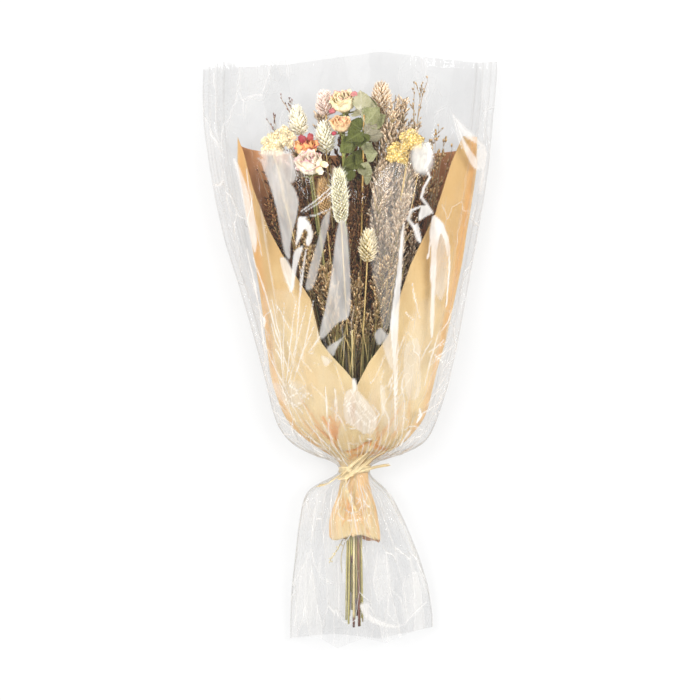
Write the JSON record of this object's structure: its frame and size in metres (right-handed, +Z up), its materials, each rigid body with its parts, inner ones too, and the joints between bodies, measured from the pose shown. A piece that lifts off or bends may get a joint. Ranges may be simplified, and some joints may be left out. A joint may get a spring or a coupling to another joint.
{
  "type": "mixed flower bouquet",
  "caption": "Dried flowers, leaves and grasses gathered in a V-fronted paper wrap inside a clear film sleeve, tied at the neck with raffia and lying on its back.",
  "frame": {"origin": "on the surface it lies on, under the middle of its bounding box", "axes": "+Y along the bunch towards the flower heads and the open mouth of the sleeve, +X to the right seen from above, +Z up from the surface"},
  "size_m": [0.2966, 0.6, 0.0895],
  "materials": {
    "clear_film": "clear, glossy, crinkled",
    "kraft_paper": "matt, faint fibres and folds",
    "raffia": "satin, ribbed along its length",
    "dried_rose": "matt, papery petals with pink edges",
    "dried_leaf": "matt, grey-green with veins",
    "green_stem": "matt",
    "straw_grass": "matt, bristly",
    "yellow_yarrow": "matt, granular",
    "brown_grass": "matt, feathery"
  },
  "bodies": {
    "root": {"sleeve_back_film": "clear_film", "sleeve_front_film": "clear_film", "skirt_back_film": "clear_film", "skirt_front_film": "clear_film", "kraft_wrap": "kraft_paper", "raffia_wrap": "raffia", "raffia_knot": "raffia", "raffia_tail_1": "raffia", "raffia_tail_2": "raffia", "raffia_tail_3": "raffia", "raffia_tail_4": "raffia", "rose_stem_1": "green_stem", "rose_head_1": "dried_rose", "rose_stem_2": "green_stem", "rose_head_2": "dried_rose", "rose_stem_3": "green_stem", "rose_head_3": "dried_rose", "rose_stem_4": "green_stem", "rose_head_4": "dried_rose", "leaf_stem": "green_stem", "rose_leaf_1": "dried_leaf", "rose_leaf_2": "dried_leaf", "rose_leaf_3": "dried_leaf", "rose_leaf_4": "dried_leaf", "rose_leaf_5": "dried_leaf", "rose_leaf_6": "dried_leaf", "rose_leaf_7": "dried_leaf", "canary_grass_1": "straw_grass", "canary_grass_2": "straw_grass", "canary_grass_3": "straw_grass", "canary_grass_4": "straw_grass", "canary_grass_5": "straw_grass", "foxtail_pale": "straw_grass", "foxtail_brown": "straw_grass", "bunny_tail_grass": "straw_grass", "panicle_grass_1": "brown_grass", "panicle_grass_2": "brown_grass", "panicle_grass_3": "brown_grass", "panicle_grass_4": "brown_grass", "panicle_grass_5": "brown_grass", "panicle_grass_6": "brown_grass", "panicle_grass_7": "brown_grass", "yarrow_right": "yellow_yarrow", "yarrow_left": "yellow_yarrow", "statice_sprig_1": "brown_grass", "statice_sprig_2": "brown_grass", "statice_sprig_3": "brown_grass", "statice_sprig_4": "brown_grass", "statice_sprig_5": "brown_grass", "bare_stem_1": "green_stem", "bare_stem_2": "green_stem", "bare_stem_3": "green_stem"}
  },
  "joints": []
}
